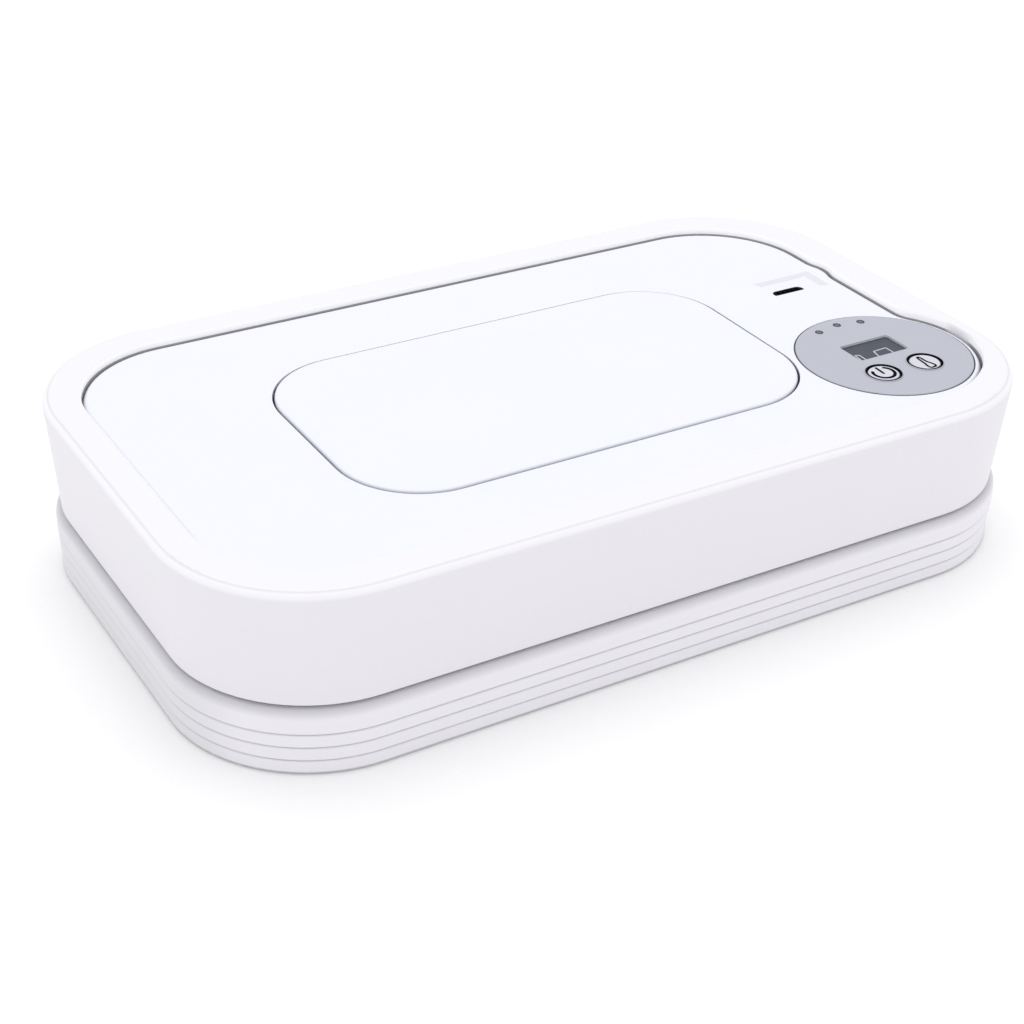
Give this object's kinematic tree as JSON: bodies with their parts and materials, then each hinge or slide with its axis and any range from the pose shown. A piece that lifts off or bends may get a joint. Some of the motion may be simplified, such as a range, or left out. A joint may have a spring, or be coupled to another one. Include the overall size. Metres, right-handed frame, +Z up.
{
  "type": "baby wipe warmer",
  "caption": "Low rounded box with a banded base, a hinged heated cover, a flip lid over the wipe slot and a round control panel with a display",
  "frame": {"origin": "on the table, under the middle of the cover's outline", "axes": "+X along the length towards the control panel, +Y towards the hinged far side, +Z up"},
  "size_m": [0.24, 0.1436, 0.049],
  "materials": {
    "white_shell": "satin",
    "cool_panel": "satin",
    "tray_plastic": "satin",
    "silicone": "matte",
    "foot_rubber": "matte",
    "foam": "matte",
    "steel": "satin",
    "grey_disc": "satin",
    "button_grey": "satin",
    "black_ring": "matte",
    "black_plastic": "matte",
    "dark_shield": "matte",
    "smoked_lens": "gloss",
    "display_face": "gloss",
    "dot_lens": "satin",
    "led": "gloss",
    "circuit_board": "satin",
    "ivory_plastic": "satin",
    "heater_film": "satin",
    "plate_aluminium": "satin",
    "wire_black": "satin",
    "wire_red": "satin"
  },
  "bodies": {
    "base": {"base_shell": "white_shell", "bottom_plate": "white_shell", "base_screws": "steel", "base_feet": "foot_rubber", "base_foam": "foam", "wipe_tray": "tray_plastic", "tray_seal": "silicone", "hinge_pins": "steel"},
    "cover": {"cover_shell": "white_shell", "top_panel": "cool_panel", "vent_insert": "black_plastic", "control_disc": "grey_disc", "display_lens": "smoked_lens", "button_rings": "black_ring", "light_shield": "dark_shield", "display_module": "display_face", "light_pipes": "dot_lens", "indicator_leds": "led", "tact_switches": "black_plastic", "control_board": "circuit_board", "board_screws": "steel", "lead_socket": "ivory_plastic", "inner_plate": "white_shell", "plate_screws": "steel", "heater_foam": "foam", "film_heater": "heater_film", "heat_plate": "plate_aluminium", "heat_plate_screws": "steel", "thermal_cutout": "steel", "temp_sensor": "ivory_plastic", "throat_frame": "white_shell", "lid_gasket": "silicone", "lid_pins": "steel", "lid_springs": "steel", "lid_latch": "dark_shield", "inlet_board": "circuit_board", "inlet_socket": "steel", "power_lead": "wire_black", "heater_leads": "wire_red"},
    "lid": {"lid_plate": "cool_panel", "lid_liner": "white_shell", "lid_striker": "ivory_plastic"},
    "power_key": {"power_button": "button_grey"},
    "heat_key": {"heat_button": "button_grey"}
  },
  "joints": [
    {"name": "cover_hinge", "type": "hinge", "parent": "base", "child": "cover", "pos_m": [0, 0.0686, 0.0213], "axis": [-1, 0, 0], "range_deg": [0, 95]},
    {"name": "lid_hinge", "type": "hinge", "parent": "cover", "child": "lid", "pos_m": [-0.0015, 0.0407, 0.0432], "axis": [-1, 0, 0], "range_deg": [0, 95]},
    {"name": "power_press", "type": "slide", "parent": "cover", "child": "power_key", "axis": [0, 0, -1], "range_m": [0, 0.0006], "stiffness_N_per_m": 300},
    {"name": "heat_press", "type": "slide", "parent": "cover", "child": "heat_key", "axis": [0, 0, -1], "range_m": [0, 0.0006], "stiffness_N_per_m": 300}
  ]
}
